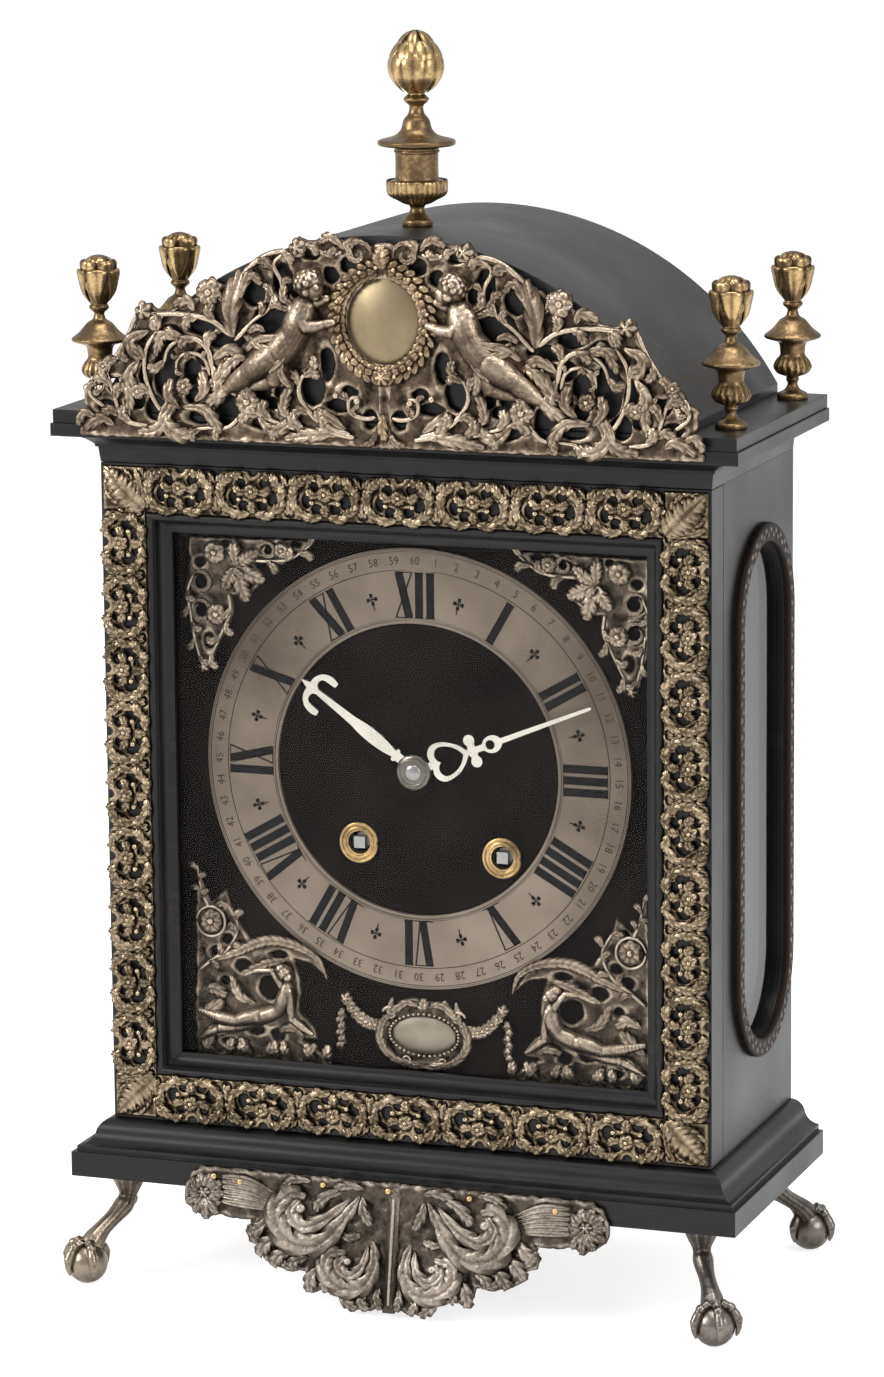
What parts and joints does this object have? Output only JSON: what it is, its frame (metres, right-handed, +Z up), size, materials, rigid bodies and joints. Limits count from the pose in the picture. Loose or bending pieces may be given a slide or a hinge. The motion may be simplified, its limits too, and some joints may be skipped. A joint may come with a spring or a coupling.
{
  "type": "table clock",
  "caption": "Ebonised arched table clock in the religieuse style with pierced brass mounts, claw feet, urn finials, glazed door, ring dial, pendulum movement and bell.",
  "frame": {"origin": "centre of the footprint, on the surface the feet stand on", "axes": "+Z up, front faces -Y, +X to the right as seen from the front"},
  "size_m": [0.3056, 0.1638, 0.54],
  "materials": {
    "ebonised_wood": "worn satin black",
    "carcass_wood": "oiled oak",
    "gilt_brass": "aged gilding",
    "silvered_mounts": "worn silvered relief",
    "plaque_brass": "polished, faintly hazed",
    "foot_bronze": "dark patina",
    "bead_brass": "brown lacquer",
    "hinge_brass": "dull",
    "velvet": "short pile",
    "silvered_ring": "brushed silvering",
    "hand_steel": "bright",
    "movement_brass": "fine brushed",
    "steel": "grey polished",
    "bell_metal": "cast and turned",
    "door_glass": "clear",
    "window_glass": "clear"
  },
  "bodies": {
    "case": {"plinth": "ebonised_wood", "base_board": "carcass_wood", "right_side_panel": "ebonised_wood", "left_side_panel": "ebonised_wood", "window_beads": "bead_brass", "window_panes": "window_glass", "cornice": "ebonised_wood", "top_board": "ebonised_wood", "arched_roof": "ebonised_wood", "tympana": "ebonised_wood", "cresting": "silvered_mounts", "cresting_plaque": "plaque_brass", "corner_finials": "gilt_brass", "top_finial": "gilt_brass", "claw_feet": "foot_bronze", "apron": "silvered_mounts", "fixed_hinge_leaves": "hinge_brass", "dial_plate": "velvet", "chapter_ring": "silvered_ring", "dial_spandrels": "silvered_mounts", "dial_cartouche": "silvered_mounts", "winding_collets": "movement_brass", "front_plate": "movement_brass", "back_plate": "movement_brass", "movement_pillars": "movement_brass", "back_cocks": "movement_brass", "bell": "bell_metal", "bell_stand": "steel"},
    "front_door": {"door_frame": "ebonised_wood", "door_moulding": "ebonised_wood", "door_glass": "door_glass", "door_border": "silvered_mounts", "door_hinge_leaves": "hinge_brass"},
    "back_door": {"back_panel": "ebonised_wood", "back_hinge_leaves": "hinge_brass"},
    "turn_button": {"turn_button": "hinge_brass"},
    "minute_work": {"minute_hand": "hand_steel", "hand_collet": "hand_steel", "cannon_wheel": "movement_brass"},
    "minute_wheel": {"minute_wheel": "movement_brass"},
    "hour_work": {"hour_hand": "hand_steel", "hour_wheel": "movement_brass"},
    "going_barrel": {"going_barrel": "movement_brass"},
    "going_winding": {"going_winding_arbor": "steel"},
    "intermediate_wheel": {"intermediate_wheel": "movement_brass"},
    "centre_wheel": {"centre_wheel": "movement_brass"},
    "contrate_wheel": {"contrate_wheel": "movement_brass"},
    "crown_wheel": {"crown_wheel": "movement_brass"},
    "verge": {"verge": "steel"},
    "pendulum": {"pendulum_rod": "steel", "pendulum_bob": "movement_brass"},
    "strike_barrel": {"strike_barrel": "movement_brass"},
    "strike_winding": {"strike_winding_arbor": "steel"},
    "count_arbor": {"count_arbor": "movement_brass"},
    "pin_wheel": {"pin_wheel": "movement_brass"},
    "locking_wheel": {"locking_wheel": "movement_brass"},
    "fly": {"fly": "movement_brass"},
    "strike_hammer": {"strike_hammer": "steel"},
    "strike_detent": {"strike_detent": "steel"}
  },
  "joints": [
    {"name": "front_door_hinge", "type": "hinge", "parent": "case", "child": "front_door", "pos_m": [-0.1373, -0.0378, 0.2135], "axis": [0, 0, -1], "range_deg": [0, 115]},
    {"name": "back_door_hinge", "type": "hinge", "parent": "case", "child": "back_door", "pos_m": [-0.12375, 0.0669, 0.2135], "axis": [0, 0, 1], "range_deg": [0, 110]},
    {"name": "turn_button_pivot", "type": "hinge", "parent": "case", "child": "turn_button", "pos_m": [0.1295, 0.0649, 0.2135], "axis": [0, 1, 0], "range_deg": [0, 90]},
    {"name": "minute_spin", "type": "hinge", "parent": "case", "child": "minute_work", "pos_m": [0, 0, 0.2285], "axis": [0, 1, 0], "continuous": true},
    {"name": "minute_wheel_spin", "type": "hinge", "parent": "case", "child": "minute_wheel", "pos_m": [0, 0, 0.2085], "axis": [0, 1, 0], "continuous": true},
    {"name": "hour_spin", "type": "hinge", "parent": "case", "child": "hour_work", "pos_m": [0, 0, 0.2285], "axis": [0, 1, 0], "continuous": true},
    {"name": "contrate_spin", "type": "hinge", "parent": "case", "child": "contrate_wheel", "pos_m": [0, 0, 0.2516], "axis": [0, 1, 0], "continuous": true},
    {"name": "centre_spin", "type": "hinge", "parent": "case", "child": "centre_wheel", "pos_m": [0, 0, 0.2285], "axis": [0, 1, 0], "continuous": true},
    {"name": "intermediate_spin", "type": "hinge", "parent": "case", "child": "intermediate_wheel", "pos_m": [0.02354, 0, 0.2217], "axis": [0, 1, 0], "continuous": true},
    {"name": "going_barrel_spin", "type": "hinge", "parent": "case", "child": "going_barrel", "pos_m": [0.0377, 0, 0.193], "axis": [0, 1, 0], "continuous": true},
    {"name": "crown_spin", "type": "hinge", "parent": "case", "child": "crown_wheel", "pos_m": [0, 0.00213, 0.275], "axis": [0, 0, 1], "continuous": true},
    {"name": "going_winding_spin", "type": "hinge", "parent": "case", "child": "going_winding", "pos_m": [0.0377, 0, 0.193], "axis": [0, 1, 0], "continuous": true},
    {"name": "pendulum_swing", "type": "hinge", "parent": "case", "child": "pendulum", "pos_m": [0, 0.032, 0.2925], "axis": [0, 1, 0], "range_deg": [-6, 6]},
    {"name": "verge_rock", "type": "hinge", "parent": "case", "child": "verge", "pos_m": [0, 0, 0.2925], "axis": [0, 1, 0], "range_deg": [-6, 6]},
    {"name": "locking_spin", "type": "hinge", "parent": "case", "child": "locking_wheel", "pos_m": [-0.03703, 0, 0.26159], "axis": [0, 1, 0], "continuous": true},
    {"name": "pin_wheel_spin", "type": "hinge", "parent": "case", "child": "pin_wheel", "pos_m": [-0.03989, 0, 0.24534], "axis": [0, 1, 0], "continuous": true},
    {"name": "count_spin", "type": "hinge", "parent": "case", "child": "count_arbor", "pos_m": [-0.04587, 0, 0.22302], "axis": [0, 1, 0], "continuous": true},
    {"name": "strike_barrel_spin", "type": "hinge", "parent": "case", "child": "strike_barrel", "pos_m": [-0.0266, 0, 0.1955], "axis": [0, 1, 0], "continuous": true},
    {"name": "fly_spin", "type": "hinge", "parent": "case", "child": "fly", "pos_m": [-0.03028, 0, 0.27328], "axis": [0, 1, 0], "continuous": true},
    {"name": "strike_winding_spin", "type": "hinge", "parent": "case", "child": "strike_winding", "pos_m": [-0.0266, 0, 0.1955], "axis": [0, 1, 0], "continuous": true},
    {"name": "hammer_lift", "type": "hinge", "parent": "case", "child": "strike_hammer", "pos_m": [-0.056, 0, 0.2555], "axis": [0, -1, 0], "range_deg": [0, 9]},
    {"name": "detent_lift", "type": "hinge", "parent": "case", "child": "strike_detent", "pos_m": [-0.02, 0, 0.2635], "axis": [0, 1, 0], "range_deg": [0, 8]}
  ],
  "couplings": [
    {"joint": "minute_wheel_spin", "follows": "minute_spin", "ratio": -0.33333},
    {"joint": "hour_spin", "follows": "minute_spin", "ratio": 0.083333},
    {"joint": "centre_spin", "follows": "contrate_spin", "ratio": -0.076923},
    {"joint": "intermediate_spin", "follows": "contrate_spin", "ratio": 0.012821},
    {"joint": "going_barrel_spin", "follows": "contrate_spin", "ratio": -0.0014245},
    {"joint": "crown_spin", "follows": "contrate_spin", "ratio": 12},
    {"joint": "verge_rock", "follows": "pendulum_swing", "ratio": 1},
    {"joint": "pin_wheel_spin", "follows": "locking_spin", "ratio": -0.1},
    {"joint": "count_spin", "follows": "locking_spin", "ratio": 0.0076923},
    {"joint": "strike_barrel_spin", "follows": "locking_spin", "ratio": -0.0012821},
    {"joint": "fly_spin", "follows": "locking_spin", "ratio": -8}
  ]
}
